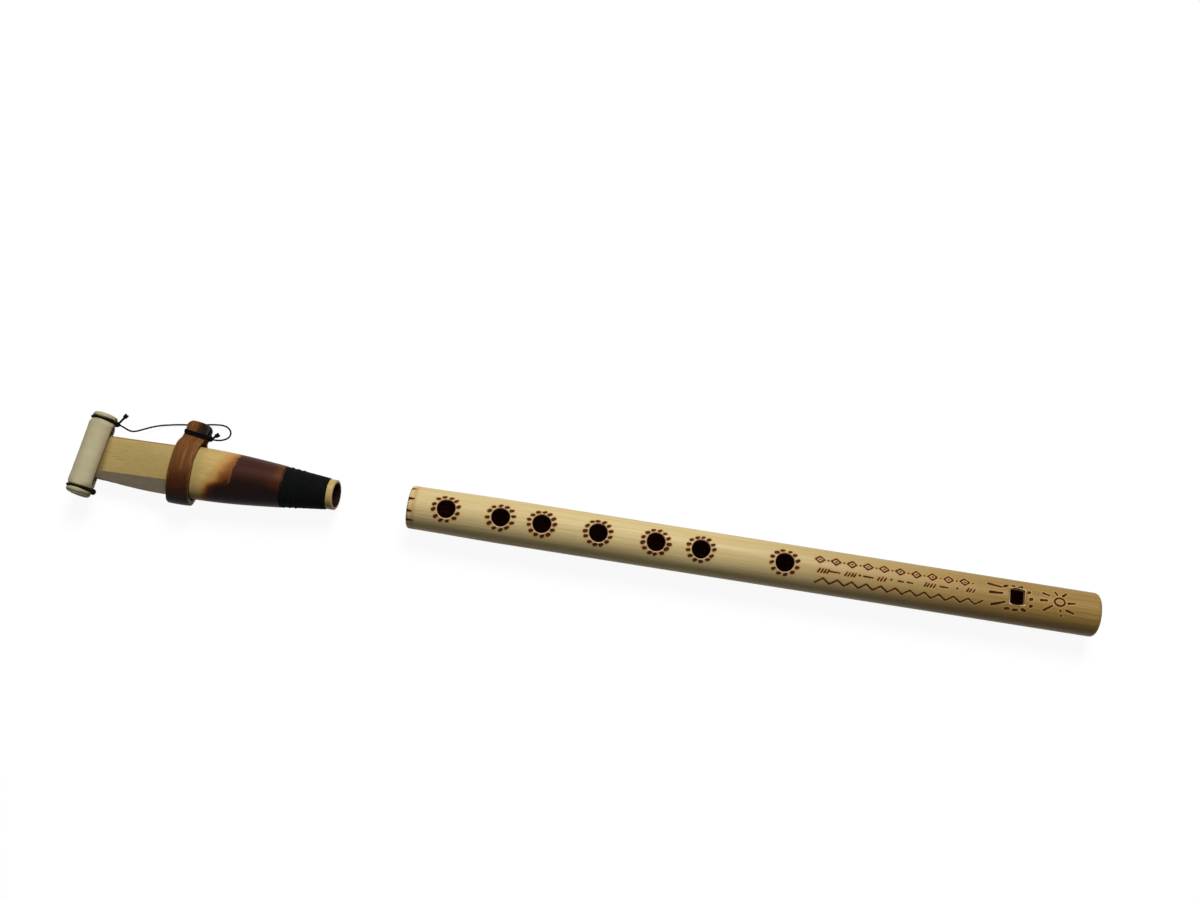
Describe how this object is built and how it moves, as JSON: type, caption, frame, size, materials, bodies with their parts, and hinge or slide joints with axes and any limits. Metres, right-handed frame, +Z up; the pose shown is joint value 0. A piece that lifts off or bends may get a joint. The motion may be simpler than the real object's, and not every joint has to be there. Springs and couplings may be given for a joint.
{
  "type": "duduk",
  "caption": "Cane duduk laid apart: a bored body tube with finger holes, and a flattened double reed with thread wrap, bridle, tied cap and tether.",
  "frame": {"origin": "bottom centre of the box round the rigid pieces, on the table that the instrument lies on", "axes": "+X along the body tube from its reed socket to its foot, +Y to the side of the bridle's tied ends, +Z up from the table through the finger holes"},
  "size_m": [0.4514, 0.0433, 0.0205],
  "materials": {
    "tube_cane": "pale golden cane under a thin satin varnish, with burned ornament",
    "reed_cane": "tan cane, scorched dark red-brown between the blades and the thread",
    "bridle_cane": "dark brown bent cane, satin",
    "cap_cane": "cream cane rind, smooth",
    "black_thread": "twisted black thread, matt"
  },
  "bodies": {
    "body": {"body_tube": "tube_cane"},
    "reed": {"reed_cane": "reed_cane", "tenon_thread": "black_thread", "tether_cap_side": "black_thread", "tether_bridle_side": "black_thread"},
    "bridle": {"bridle_strip": "bridle_cane", "bridle_neck_tie": "black_thread", "bridle_knot": "black_thread"},
    "cap": {"cap_front_strip": "cap_cane", "cap_back_strip": "cap_cane", "cap_upper_tie": "black_thread", "cap_lower_tie": "black_thread", "cap_upper_knot": "black_thread", "cap_lower_knot": "black_thread"}
  },
  "joints": [
    {"name": "reed_slide", "type": "slide", "parent": "body", "child": "reed", "axis": [1, 0, 0], "range_m": [0, 0.0425]},
    {"name": "bridle_slide", "type": "slide", "parent": "reed", "child": "bridle", "axis": [-1, 0, 0], "range_m": [0, 0.012]},
    {"name": "cap_slide", "type": "slide", "parent": "reed", "child": "cap", "axis": [-1, 0, 0], "range_m": [0, 0.019]}
  ]
}
